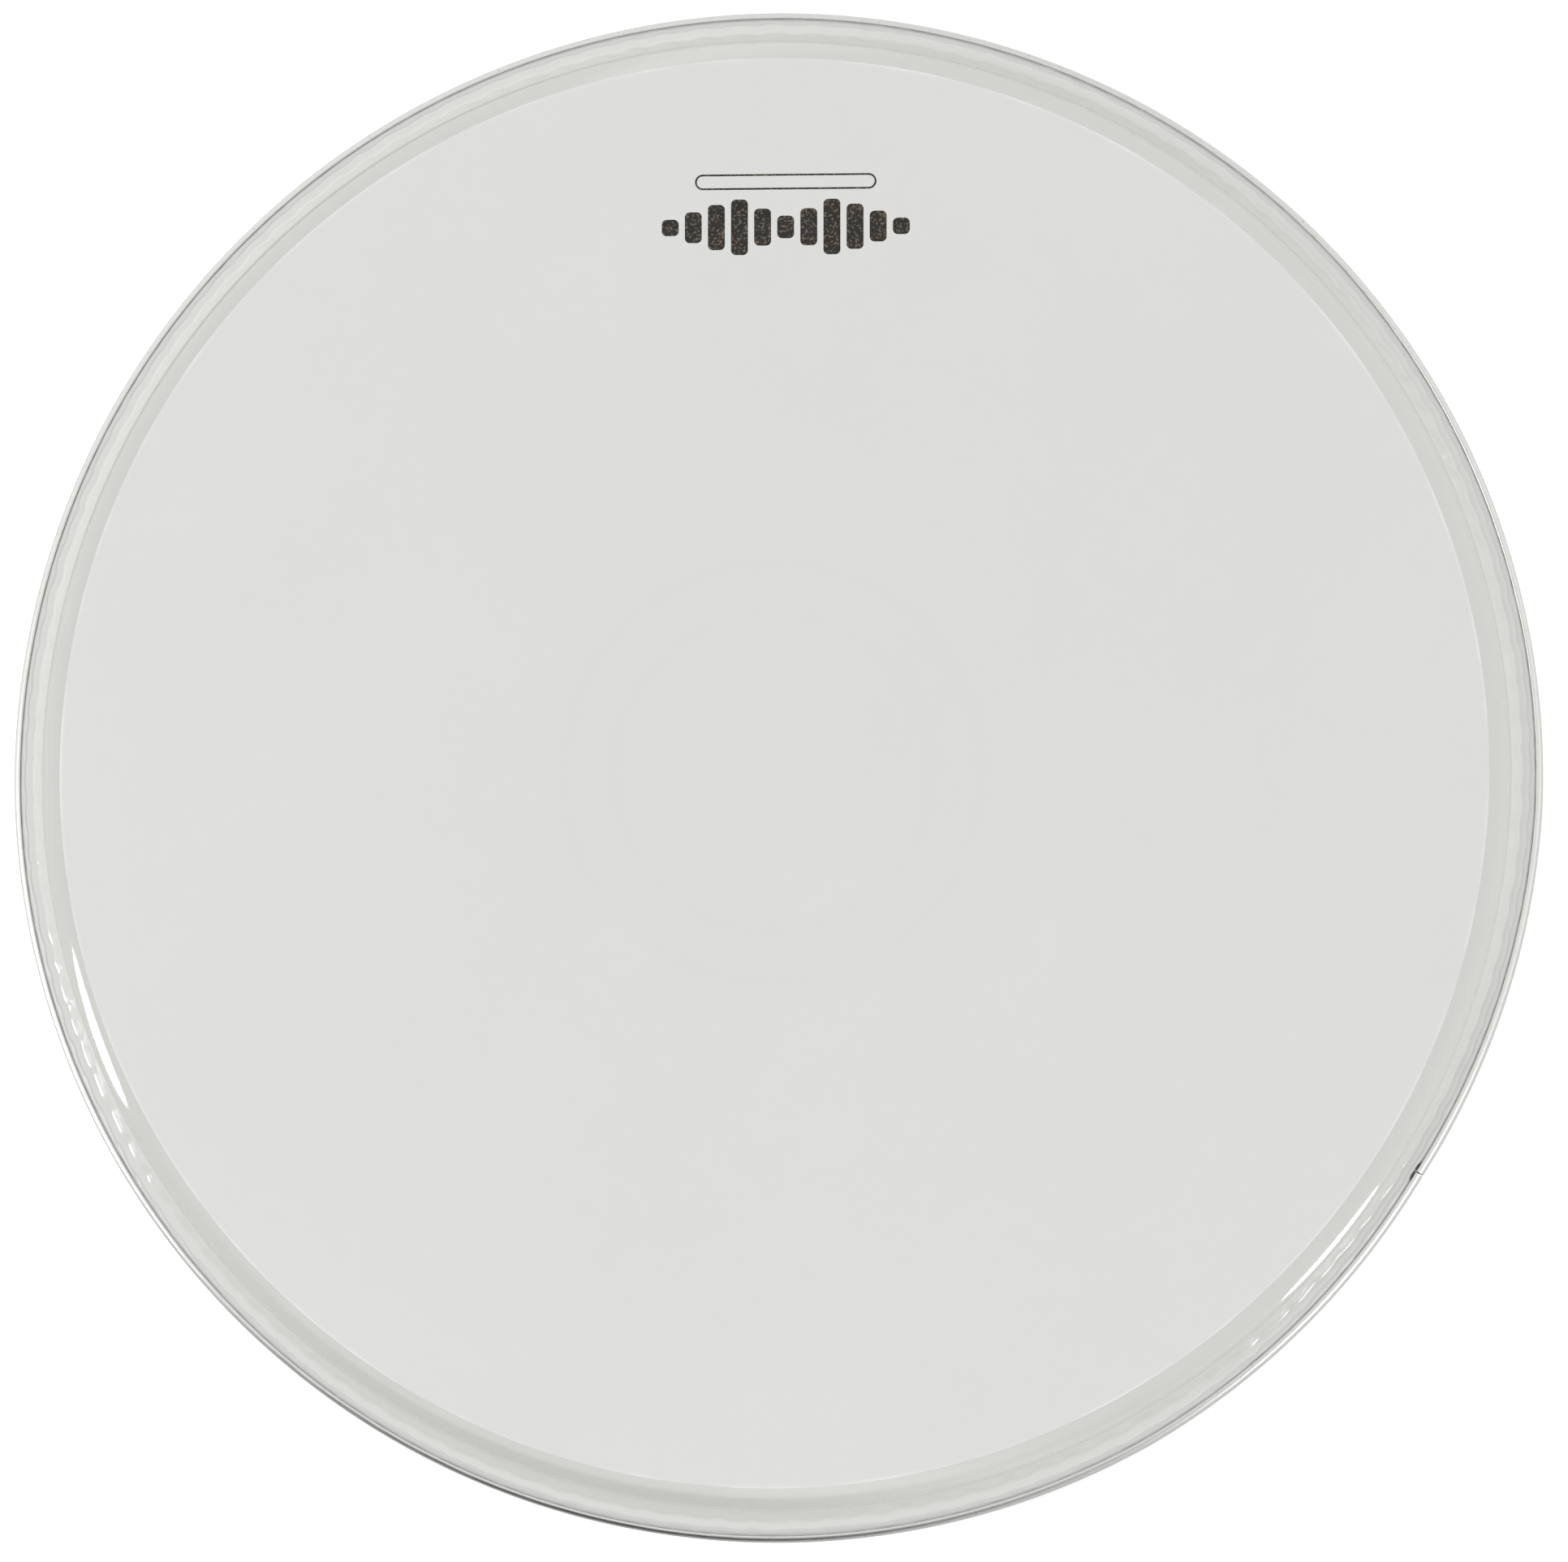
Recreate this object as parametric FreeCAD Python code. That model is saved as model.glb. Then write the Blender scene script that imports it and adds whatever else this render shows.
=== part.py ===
import FreeCAD, Part
import math
import os

os.makedirs("parts", exist_ok=True)

# Lengths are in millimetres and angles in degrees.
# The origin is on the head's axis in the plane of the hoop's foot, and +Z points out of the playing side.

# Drum shell that the head fits over
SHELL_DIAMETER = 355.6
SHELL_CLEARANCE = 1.6

# Hoop, a U channel roll-formed from aluminium strip, open upwards, with its ends butted at a seam
STRIP_GAUGE = 0.8
CHANNEL_WIDTH = 4.0
HOOP_HEIGHT = 11.0
INNER_WALL_HEIGHT = 9.0
FLOOR_BEND_RADIUS = 0.6
LIP_BEND_RADIUS = 0.4
LIP_REACH = 1.5
SEAM_GAP = 0.35
SEAM_AZIMUTH = -32.0

# Film, a polyester disc formed into a flat crown, a round shoulder, a leaning collar, a ledge and an upright skirt
FILM_THICKNESS = 0.254
CROWN_RISE = 6.2
SHOULDER_RADIUS = 5.5
COLLAR_LEAN = 24.0
FLARE_RADIUS = 1.2
LEDGE_RISE = 0.3
LEDGE_WIDTH = 1.95
SKIRT_STANDOFF = 1.75
SKIRT_EDGE_GAP = 1.2

# Lock slots punched through the skirt, where the resin keys the film to the hoop
LOCK_SLOT_COUNT = 6
LOCK_SLOT_WIDTH = 4.0
LOCK_SLOT_HEIGHT = 2.2
LOCK_SLOT_RISE = 1.6

# Potting resin on both sides of the skirt, up to the ledge and down again towards the lip
RESIN_DROP = 1.4

# Textured coating on the crown, sprayed through a round mask that sits a little off the axis
COATING_THICKNESS = 0.05
BARE_RING_WIDTH = 0.7
MASK_SHIFT_X = -0.25
MASK_SHIFT_Y = 0.2

# Reinforcing dot under the crown, stuck on by a ring of adhesive along its edge
DOT_DIAMETER = 101.6
DOT_THICKNESS = 0.127
ADHESIVE_THICKNESS = 0.05
ADHESIVE_WIDTH = 12.7

# Straight chords that stand for each round stretch of a section
STRIP_BEND_CHORDS = 2
SHOULDER_CHORDS = 3
FLARE_CHORDS = 1

# Radii of the hoop's walls, from the shell outwards
FULL_TURN = 360.0
BORE_RADIUS = SHELL_DIAMETER / 2 + SHELL_CLEARANCE
CHANNEL_INNER_RADIUS = BORE_RADIUS + STRIP_GAUGE
CHANNEL_OUTER_RADIUS = CHANNEL_INNER_RADIUS + CHANNEL_WIDTH
HOOP_RADIUS = CHANNEL_OUTER_RADIUS + STRIP_GAUGE

# Centres of the strip's bends
FLOOR_BEND_LEVEL = STRIP_GAUGE + FLOOR_BEND_RADIUS
INNER_BEND = (CHANNEL_INNER_RADIUS + FLOOR_BEND_RADIUS, FLOOR_BEND_LEVEL)
OUTER_BEND = (CHANNEL_OUTER_RADIUS - FLOOR_BEND_RADIUS, FLOOR_BEND_LEVEL)
LIP_OUTER_RADIUS = LIP_BEND_RADIUS + STRIP_GAUGE
LIP_BEND = (HOOP_RADIUS - LIP_OUTER_RADIUS, HOOP_HEIGHT - LIP_OUTER_RADIUS)
LIP_EDGE_RADIUS = HOOP_RADIUS - LIP_REACH

# Seat of the film's skirt in the channel, and the levels of its crown
SKIRT_INNER_RADIUS = CHANNEL_INNER_RADIUS + SKIRT_STANDOFF
SKIRT_OUTER_RADIUS = SKIRT_INNER_RADIUS + FILM_THICKNESS
SKIRT_EDGE_LEVEL = STRIP_GAUGE + SKIRT_EDGE_GAP
CROWN_TOP = HOOP_HEIGHT + CROWN_RISE
CROWN_UNDERSIDE = CROWN_TOP - FILM_THICKNESS
DOT_TOP = CROWN_UNDERSIDE - ADHESIVE_THICKNESS

# The collar leans inwards from a flare on the ledge and runs into the shoulder without a corner
LEAN = math.radians(COLLAR_LEAN)
LEDGE_LEVEL = HOOP_HEIGHT + LEDGE_RISE
FLARE_CENTRE = (SKIRT_OUTER_RADIUS - LEDGE_WIDTH, LEDGE_LEVEL + FLARE_RADIUS)
FLARE_END = COLLAR_LEAN + 180.0
BENDS_RADIUS = SHOULDER_RADIUS + FLARE_RADIUS
COLLAR_DROP = CROWN_TOP - LEDGE_LEVEL - BENDS_RADIUS * (1 - math.sin(LEAN))
CROWN_RADIUS = FLARE_CENTRE[0] - BENDS_RADIUS * math.cos(LEAN) - COLLAR_DROP * math.tan(LEAN)
SHOULDER_CENTRE = (CROWN_RADIUS, CROWN_TOP - SHOULDER_RADIUS)

ORIGIN = FreeCAD.Vector(0, 0, 0)
AXIS = FreeCAD.Vector(0, 0, 1)


def bend(centre, radius, start, end, chords):
    """Points of a round stretch of a section, from one angle to another in equal chords."""
    points = []
    for step in range(chords + 1):
        angle = math.radians(start + (end - start) * step / chords)
        points.append((centre[0] + radius * math.cos(angle), centre[1] + radius * math.sin(angle)))
    return points


def turned(points):
    """The solid of a section turned once around the axis; a point is its radius and its level."""
    corners = [FreeCAD.Vector(radius, 0, level) for radius, level in points]
    outline = Part.makePolygon(corners + corners[:1])
    return Part.Face(outline).revolve(ORIGIN, AXIS, FULL_TURN)


def disc(radius, bottom, thickness, x=0.0, y=0.0):
    return Part.makeCylinder(radius, thickness, FreeCAD.Vector(x, y, bottom))


def channel_floor():
    """Points across the channel's floor, from its inner wall to its outer wall, with a chord in each corner."""
    inner_corner = [(CHANNEL_INNER_RADIUS, FLOOR_BEND_LEVEL), (INNER_BEND[0], STRIP_GAUGE)]
    outer_corner = [(OUTER_BEND[0], STRIP_GAUGE), (CHANNEL_OUTER_RADIUS, FLOOR_BEND_LEVEL)]
    return inner_corner + outer_corner


def strip_section():
    """The strip's section: inner wall, floor, outer wall and the lip turned inwards over the channel."""
    floor_radius = FLOOR_BEND_RADIUS + STRIP_GAUGE
    lip_underside = HOOP_HEIGHT - STRIP_GAUGE
    outside = [(BORE_RADIUS, INNER_WALL_HEIGHT)]
    outside += bend(INNER_BEND, floor_radius, 180, 270, STRIP_BEND_CHORDS)
    outside += bend(OUTER_BEND, floor_radius, 270, 360, STRIP_BEND_CHORDS)
    outside += bend(LIP_BEND, LIP_OUTER_RADIUS, 0, 90, STRIP_BEND_CHORDS)
    inside = [(LIP_EDGE_RADIUS, HOOP_HEIGHT), (LIP_EDGE_RADIUS, lip_underside)]
    inside += [(CHANNEL_OUTER_RADIUS, lip_underside)]
    inside += channel_floor()[::-1] + [(CHANNEL_INNER_RADIUS, INNER_WALL_HEIGHT)]
    return outside + inside


def seam_slot():
    """The open butt seam between the two ends of the rolled strip."""
    reach = HOOP_RADIUS + SEAM_GAP
    slot = Part.makeBox(reach, SEAM_GAP, HOOP_HEIGHT, FreeCAD.Vector(0, -SEAM_GAP / 2, 0))
    slot.rotate(ORIGIN, AXIS, SEAM_AZIMUTH)
    return slot


def make_hoop():
    return turned(strip_section()).cut(seam_slot())


def film_section():
    """Crown, shoulder, collar, flare, ledge and skirt, one film thickness everywhere."""
    inner_shoulder = SHOULDER_RADIUS - FILM_THICKNESS
    inner_flare = FLARE_RADIUS + FILM_THICKNESS
    outside = [(0.0, CROWN_TOP)]
    outside += bend(SHOULDER_CENTRE, SHOULDER_RADIUS, 90, COLLAR_LEAN, SHOULDER_CHORDS)
    outside += bend(FLARE_CENTRE, FLARE_RADIUS, FLARE_END, 270, FLARE_CHORDS)
    outside += [(SKIRT_OUTER_RADIUS, LEDGE_LEVEL), (SKIRT_OUTER_RADIUS, SKIRT_EDGE_LEVEL)]
    inside = [(SKIRT_INNER_RADIUS, SKIRT_EDGE_LEVEL), (SKIRT_INNER_RADIUS, LEDGE_LEVEL - FILM_THICKNESS)]
    inside += bend(FLARE_CENTRE, inner_flare, 270, FLARE_END, FLARE_CHORDS)
    inside += bend(SHOULDER_CENTRE, inner_shoulder, COLLAR_LEAN, 90, SHOULDER_CHORDS)
    inside += [(0.0, CROWN_UNDERSIDE)]
    return outside + inside


def lock_slots():
    """Punches through the skirt, in a circle that keeps the hoop's seam half way between two of them."""
    pitch = FULL_TURN / LOCK_SLOT_COUNT
    sill = SKIRT_EDGE_LEVEL + LOCK_SLOT_RISE
    corner = FreeCAD.Vector(CHANNEL_INNER_RADIUS, -LOCK_SLOT_WIDTH / 2, sill)
    punches = []
    for index in range(LOCK_SLOT_COUNT):
        punch = Part.makeBox(CHANNEL_WIDTH, LOCK_SLOT_WIDTH, LOCK_SLOT_HEIGHT, corner)
        punch.rotate(ORIGIN, AXIS, SEAM_AZIMUTH + pitch * (index + 1 / 2))
        punches.append(punch)
    return Part.makeCompound(punches)


def make_film():
    return turned(film_section()).cut(lock_slots())


def resin_section():
    """The filling up to the middle of the film's thickness; the film is cut out of it afterwards."""
    outer_level = HOOP_HEIGHT - RESIN_DROP
    half_film = FILM_THICKNESS / 2
    filling = [(BORE_RADIUS, INNER_WALL_HEIGHT), (CHANNEL_INNER_RADIUS, INNER_WALL_HEIGHT)]
    filling += channel_floor()
    filling += [(CHANNEL_OUTER_RADIUS, outer_level), (SKIRT_INNER_RADIUS + half_film, LEDGE_LEVEL - half_film)]
    filling += bend(FLARE_CENTRE, FLARE_RADIUS + half_film, 270, FLARE_END, FLARE_CHORDS)
    return filling


def make_resin(film):
    """One casting on both sides of the skirt and under it, which also fills every lock slot."""
    return turned(resin_section()).cut(film)


def make_coating():
    radius = CROWN_RADIUS - BARE_RING_WIDTH
    return disc(radius, CROWN_TOP, COATING_THICKNESS, MASK_SHIFT_X, MASK_SHIFT_Y)


def make_dot_adhesive():
    ring = disc(DOT_DIAMETER / 2, DOT_TOP, ADHESIVE_THICKNESS)
    return ring.cut(disc(DOT_DIAMETER / 2 - ADHESIVE_WIDTH, DOT_TOP, ADHESIVE_THICKNESS))


def make_dot():
    return disc(DOT_DIAMETER / 2, DOT_TOP - DOT_THICKNESS, DOT_THICKNESS)


def save(name, shape):
    """Writes one sub-part, which is a single solid."""
    shape.Solids[0].exportStep("parts/" + name + ".step")


film_solid = make_film()
save("hoop", make_hoop())
save("film", film_solid)
save("resin", make_resin(film_solid))
save("coating", make_coating())
save("dot_adhesive", make_dot_adhesive())
save("dot", make_dot())
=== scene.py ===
# %% [markdown]
# # A coated drum head
#
# A drum head is a disc of clear polyester film that is formed over a collar and potted into a metal hoop.
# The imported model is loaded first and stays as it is: every piece below is built where its solid stands,
# in metres, with the hoop's foot on z = 0 and the playing side up.

# %% Load the frame
import math

import bmesh
import bpy
from mathutils import Matrix, Vector, noise


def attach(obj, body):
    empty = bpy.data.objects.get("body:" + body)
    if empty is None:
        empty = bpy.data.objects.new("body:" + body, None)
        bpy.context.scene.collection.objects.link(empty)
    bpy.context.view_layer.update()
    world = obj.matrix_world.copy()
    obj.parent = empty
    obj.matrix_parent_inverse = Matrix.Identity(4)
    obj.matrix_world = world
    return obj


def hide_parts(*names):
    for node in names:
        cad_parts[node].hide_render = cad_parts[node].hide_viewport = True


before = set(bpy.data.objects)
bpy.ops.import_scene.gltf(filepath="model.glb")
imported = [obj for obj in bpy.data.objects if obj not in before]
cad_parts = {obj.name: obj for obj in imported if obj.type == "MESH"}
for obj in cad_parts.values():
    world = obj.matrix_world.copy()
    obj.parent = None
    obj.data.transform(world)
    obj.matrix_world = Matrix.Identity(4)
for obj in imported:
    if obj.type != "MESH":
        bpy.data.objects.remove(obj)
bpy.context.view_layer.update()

MM = 0.001

# %% [markdown]
# ## Node helpers
#
# Both the shapes and the finishes are node trees, so a few small helpers save a lot of typing. `add`
# makes a node, sets its options and fills its inputs: a socket given as a value becomes a link. `maths`
# and `vectors` do the same for the two Math nodes, and `smooth_range` fades a value in.

# %% Helpers for node trees


def add(tree, kind, inputs=None, **options):
    made = tree.nodes.new(kind)
    for name, value in options.items():
        setattr(made, name, value)
    for name, value in (inputs or {}).items():
        if isinstance(value, bpy.types.NodeSocket):
            tree.links.new(value, made.inputs[name])
        else:
            made.inputs[name].default_value = value
    return made


def maths(tree, operation, *values):
    return add(tree, "ShaderNodeMath", dict(enumerate(values)), operation=operation).outputs[0]


def vectors(tree, operation, *values):
    """The number that comes out of a length or a dot product, or else the vector."""
    made = add(tree, "ShaderNodeVectorMath", dict(enumerate(values)), operation=operation)
    return made.outputs["Value" if operation in ("LENGTH", "DOT_PRODUCT") else "Vector"]


def smooth_range(tree, value, start, end, low=0.0, high=1.0):
    """low before start, high after end, and an S curve between them."""
    inputs = {"Value": value, "From Min": start, "From Max": end, "To Min": low, "To Max": high}
    return add(tree, "ShaderNodeMapRange", inputs, interpolation_type="SMOOTHSTEP").outputs["Result"]


# %% [markdown]
# ## One tree that turns a section around the axis
#
# Hoop, film, resin and coating are all turned shapes: a section carried around the head's axis. A Screw
# modifier or a Spin would do for a plain ring, but the film also has pleats around its collar, where the
# flat sheet had too much length for the smaller circle, and the resin is moulded against them. So a
# Geometry Nodes tree bends a flat grid into a ring: one direction of the grid walks along the section's
# points, the other one walks around the axis, and a lobed wave pushes the collar outwards.

# %% The tree's inputs
TURN_INPUTS = {
    "Section": "NodeSocketObject",
    "Columns": "NodeSocketInt",
    "Steps": "NodeSocketInt",
    "Start": "NodeSocketFloat",
    "Sweep": "NodeSocketFloat",
    "Pleat Count": "NodeSocketInt",
    "Pleat Depth": "NodeSocketFloat",
    "Finish": "NodeSocketMaterial",
}
PLEAT_TOP = 14.2 * MM
PLEAT_FULL = 11.8 * MM
PLEAT_LOWEST = 7.0 * MM
PLEAT_LOW_FULL = 9.0 * MM
PLEAT_WALL = 180.2 * MM
PLEAT_FREE = 180.8 * MM
PLEAT_NEAR = 182.2 * MM
PLEAT_FAR = 183.4 * MM
PLEAT_OVER_WALL = 9.1 * MM
PLEAT_CLEAR_OF_WALL = 9.6 * MM
PLEAT_WANDER = 2.6
PLEAT_PATCH = 28.0
PLEAT_LEAST = 0.4
PLEAT_SHIFT = (3.0, 5.0, 7.0)
MERGE = 0.0005 * MM

turn_tree = bpy.data.node_groups.new("turned_section", "GeometryNodeTree")
turn_ids = {}
for name, kind in TURN_INPUTS.items():
    turn_ids[name] = turn_tree.interface.new_socket(name, in_out="INPUT", socket_type=kind).identifier
turn_tree.interface.new_socket("Geometry", in_out="OUTPUT", socket_type="NodeSocketGeometry")
print("inputs of the turning tree:", turn_ids)

# %% The tree's nodes


def build_turn_tree(tree):
    given = add(tree, "NodeGroupInput").outputs
    rows = maths(tree, "ADD", given["Steps"], 1)
    grid = add(tree, "GeometryNodeMeshGrid",
               {"Size X": 1, "Size Y": 1, "Vertices X": given["Columns"], "Vertices Y": rows})
    mapped = add(tree, "GeometryNodeStoreNamedAttribute",
                 {"Geometry": grid.outputs["Mesh"], "Name": "UVMap", "Value": grid.outputs["UV Map"]},
                 data_type="FLOAT2", domain="CORNER")

    # Where on the section, and where around the axis, each grid point belongs
    position = add(tree, "GeometryNodeInputPosition").outputs[0]
    place = add(tree, "ShaderNodeSeparateXYZ", {0: position}).outputs
    strips = maths(tree, "SUBTRACT", given["Columns"], 1)
    along = maths(tree, "MULTIPLY", maths(tree, "ADD", place["X"], 0.5), strips)
    shape = add(tree, "GeometryNodeObjectInfo", {"Object": given["Section"]}).outputs["Geometry"]
    count = add(tree, "GeometryNodeAttributeDomainSize", {0: shape}).outputs["Point Count"]
    index = maths(tree, "MODULO", maths(tree, "ROUND", along), count)
    corner = add(tree, "GeometryNodeSampleIndex",
                 {"Geometry": shape, "Value": position, "Index": index},
                 data_type="FLOAT_VECTOR", domain="POINT").outputs["Value"]
    corner = add(tree, "ShaderNodeSeparateXYZ", {0: corner}).outputs
    turned = maths(tree, "MULTIPLY", maths(tree, "ADD", place["Y"], 0.5), given["Sweep"])
    azimuth = maths(tree, "ADD", turned, given["Start"])
    east, north = maths(tree, "COSINE", azimuth), maths(tree, "SINE", azimuth)

    # The pleats: lobes with sharp creases between them, uneven in width and depth
    ring = add(tree, "ShaderNodeCombineXYZ", {"X": east, "Y": north}).outputs[0]
    patches = add(tree, "ShaderNodeTexNoise", {"Vector": ring, "Scale": PLEAT_PATCH, "Detail": 1.0})
    wander = maths(tree, "MULTIPLY", maths(tree, "SUBTRACT", patches.outputs[0], 0.5), PLEAT_WANDER)
    phase = maths(tree, "MULTIPLY", maths(tree, "MULTIPLY", azimuth, given["Pleat Count"]), 0.5)
    lobe = maths(tree, "ABSOLUTE", maths(tree, "COSINE", maths(tree, "ADD", phase, wander)))
    shifted = vectors(tree, "ADD", ring, PLEAT_SHIFT)
    uneven = add(tree, "ShaderNodeTexNoise", {"Vector": shifted, "Scale": PLEAT_PATCH, "Detail": 1.0})
    depth = maths(tree, "ADD", uneven.outputs[0], PLEAT_LEAST)
    depth = maths(tree, "MULTIPLY", given["Pleat Depth"], depth)

    # The pleats fade out up the collar, down the skirt, towards the lip and beside the inner wall
    off_wall = smooth_range(tree, corner["X"], PLEAT_WALL, PLEAT_FREE)
    above_wall = smooth_range(tree, corner["Z"], PLEAT_OVER_WALL, PLEAT_CLEAR_OF_WALL)
    fades = (smooth_range(tree, corner["Z"], PLEAT_LOWEST, PLEAT_LOW_FULL),
             smooth_range(tree, corner["X"], PLEAT_FAR, PLEAT_NEAR),
             maths(tree, "MAXIMUM", off_wall, above_wall))
    weight = smooth_range(tree, corner["Z"], PLEAT_TOP, PLEAT_FULL)
    for fade in fades:
        weight = maths(tree, "MULTIPLY", weight, fade)
    push = maths(tree, "MULTIPLY", maths(tree, "MULTIPLY", lobe, depth), weight)

    # The bent grid, closed where it meets itself
    radius = maths(tree, "ADD", corner["X"], push)
    across, onward = maths(tree, "MULTIPLY", radius, east), maths(tree, "MULTIPLY", radius, north)
    point = add(tree, "ShaderNodeCombineXYZ", {"X": across, "Y": onward, "Z": corner["Z"]}).outputs[0]
    bent = add(tree, "GeometryNodeSetPosition", {"Geometry": mapped.outputs[0], "Position": point})
    closed = add(tree, "GeometryNodeMergeByDistance", {"Geometry": bent.outputs[0], "Distance": MERGE})
    rounded = add(tree, "GeometryNodeSetShadeSmooth", {"Geometry": closed.outputs[0]})
    real = add(tree, "GeometryNodeRealizeInstances", {"Geometry": rounded.outputs[0]})
    finished = add(tree, "GeometryNodeSetMaterial",
                   {"Geometry": real.outputs[0], "Material": given["Finish"]})
    add(tree, "NodeGroupOutput", {"Geometry": finished.outputs[0]})


build_turn_tree(turn_tree)
print("nodes in the turning tree:", len(turn_tree.nodes))

# %% [markdown]
# ## From a section to a finished piece
#
# A section is a short list of points, each a radius and a level in millimetres. `arc` gives the points of
# a round stretch. `turned_piece` hands the section to the tree, keeps the evaluated result as a plain
# mesh and drops the modifier. Normals are recalculated once the doubles are merged, and edges steeper
# than the given angle stay sharp.

# %% Helpers for turned pieces
FULL_TURN = 2 * math.pi
SLIVER = 0.0002 * MM


def arc(centre, radius, start, end, steps):
    angles = [math.radians(start + (end - start) * i / steps) for i in range(steps + 1)]
    return [(centre[0] + radius * math.cos(a), centre[1] + radius * math.sin(a)) for a in angles]


def straight(start, end, steps):
    """Points between two ends, without the ends."""
    return [(start[0] + (end[0] - start[0]) * i / steps, start[1] + (end[1] - start[1]) * i / steps)
            for i in range(1, steps)]


def outward(mesh, sharp_angle):
    shell = bmesh.new()
    shell.from_mesh(mesh)
    bmesh.ops.remove_doubles(shell, verts=shell.verts, dist=MERGE)
    bmesh.ops.dissolve_degenerate(shell, edges=shell.edges, dist=SLIVER)
    bmesh.ops.recalc_face_normals(shell, faces=shell.faces)
    shell.to_mesh(mesh)
    shell.free()
    mesh.shade_smooth()
    mesh.set_sharp_from_angle(angle=math.radians(sharp_angle))


def turned_piece(name, section, finish, steps, closed, sharp_angle,
                 start=0.0, sweep=FULL_TURN, pleats=(0, 0.0)):
    flat = bpy.data.meshes.new(name + "_section")
    flat.from_pydata([(r * MM, 0.0, z * MM) for r, z in section], [], [])
    outline = bpy.data.objects.new(name + "_section", flat)
    bpy.context.scene.collection.objects.link(outline)
    piece = bpy.data.objects.new(name, bpy.data.meshes.new(name))
    bpy.context.scene.collection.objects.link(piece)
    modifier = piece.modifiers.new("turn", "NODES")
    modifier.node_group = turn_tree
    columns = len(section) + 1 if closed else len(section)
    values = {"Section": outline, "Columns": columns, "Steps": steps, "Start": start, "Sweep": sweep,
              "Pleat Count": pleats[0], "Pleat Depth": pleats[1] * MM, "Finish": finish}
    for label, value in values.items():
        modifier[turn_ids[label]] = value
    graph = bpy.context.evaluated_depsgraph_get()
    mesh = bpy.data.meshes.new_from_object(piece.evaluated_get(graph), depsgraph=graph)
    piece.modifiers.clear()
    piece.data = mesh
    bpy.data.objects.remove(outline)
    outward(mesh, sharp_angle)
    print(name, "triangles:", sum(len(p.vertices) - 2 for p in mesh.polygons))
    return piece


def settle(piece, slot, *nodes):
    """The piece stands for these solids, which are hidden. The slot argument is not used."""
    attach(piece, "root")
    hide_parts(*nodes)


# %% [markdown]
# ## Finish of the rolled aluminium
#
# The hoop is bare strip, drawn through forming rolls: a satin metal with fine lines along its length, a
# few brighter rubs where the rolls pressed hardest and small dark specks along the cut edge. Anisotropic
# shading would be one way; here stretched noise on the piece's own UV map drives roughness and bump,
# because that also survives the baking of the exported model. The helpers come first, since every finish
# uses them.

# %% Helpers for finishes


def new_finish(name):
    finish = bpy.data.materials.new(name)
    finish.use_nodes = True
    finish.node_tree.nodes.clear()
    return finish, finish.node_tree


def show(tree, shader):
    add(tree, "ShaderNodeOutputMaterial", {"Surface": shader.outputs[0]})


def object_seat(tree):
    return add(tree, "ShaderNodeTexCoord").outputs["Object"]


def object_noise(tree, scale, detail=2.0, roughness=0.5):
    inputs = {"Vector": object_seat(tree), "Scale": scale, "Detail": detail, "Roughness": roughness}
    return add(tree, "ShaderNodeTexNoise", inputs).outputs[0]


def blend_colour(tree, factor, first, second):
    return add(tree, "ShaderNodeMix", {0: factor, 6: first, 7: second}, data_type="RGBA").outputs[2]


def touch(tree, mask, strength, colour, second):
    """A second colour laid over the first with this strength, where the mask is set."""
    return blend_colour(tree, maths(tree, "MULTIPLY", mask, strength), colour, second)


def spread(tree, grain, low, high):
    """The middle of a noise's range, stretched from low to high."""
    inputs = {"Value": grain, "From Min": 0.3, "From Max": 0.7, "To Min": low, "To Max": high}
    return add(tree, "ShaderNodeMapRange", inputs).outputs["Result"]


def relief(tree, height, strength, depth):
    """A bump of this depth in millimetres."""
    inputs = {"Height": height, "Strength": strength, "Distance": depth * MM}
    return add(tree, "ShaderNodeBump", inputs).outputs["Normal"]


# %% Rolled aluminium
DRAWN_LINES = (420.0, 9.0, 1.0)
ROLL_RUBS = (40.0, 160.0, 1.0)


def strip_noise(tree, stretch, detail):
    """Noise on the strip's UV map, drawn out along the strip or across it."""
    uv = add(tree, "ShaderNodeTexCoord").outputs["UV"]
    seat = add(tree, "ShaderNodeMapping", {"Vector": uv, "Scale": stretch}).outputs[0]
    return add(tree, "ShaderNodeTexNoise", {"Vector": seat, "Scale": 1.0, "Detail": detail}).outputs[0]


def rolled_aluminium():
    finish, tree = new_finish("rolled_aluminium")
    lines = strip_noise(tree, DRAWN_LINES, 3.0)
    rubs = strip_noise(tree, ROLL_RUBS, 4.0)
    specks = smooth_range(tree, object_noise(tree, 1900.0), 0.66, 0.72)
    colour = blend_colour(tree, lines, (0.656, 0.66, 0.64, 1), (0.746, 0.75, 0.728, 1))
    colour = touch(tree, specks, 0.6, colour, (0.30, 0.29, 0.27, 1))
    look = {"Base Color": colour, "Metallic": 1.0, "Roughness": spread(tree, rubs, 0.2, 0.34),
            "Normal": relief(tree, lines, 0.25, 0.02)}
    show(tree, add(tree, "ShaderNodeBsdfPrincipled", look))
    return finish


aluminium = rolled_aluminium()
print("finish made:", aluminium.name)

# %% [markdown]
# ## The hoop
#
# Strip is roll-formed into a channel that is open upwards, with a short lip turned in over it, and its
# ends butt at a seam. The section has real bend radii and broken edges, and the sweep stops short of a
# full turn, so the seam stays open.

# %% Hoop
STRIP = 0.8
BORE = 179.4
CHANNEL_INSIDE = BORE + STRIP
HOOP_RADIUS = 185.0
CHANNEL_OUTSIDE = HOOP_RADIUS - STRIP
HOOP_TOP = 11.0
INNER_WALL_TOP = 9.0
FLOOR_BEND = 1.4
LIP_BEND = 1.2
LIP_EDGE = 183.5
EDGE_BREAK = 0.2
SEAM_AZIMUTH = math.radians(-32.0)
SEAM_GAP = 0.4
HOOP_STEPS = 720
HOOP_SHARP = 40


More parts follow.
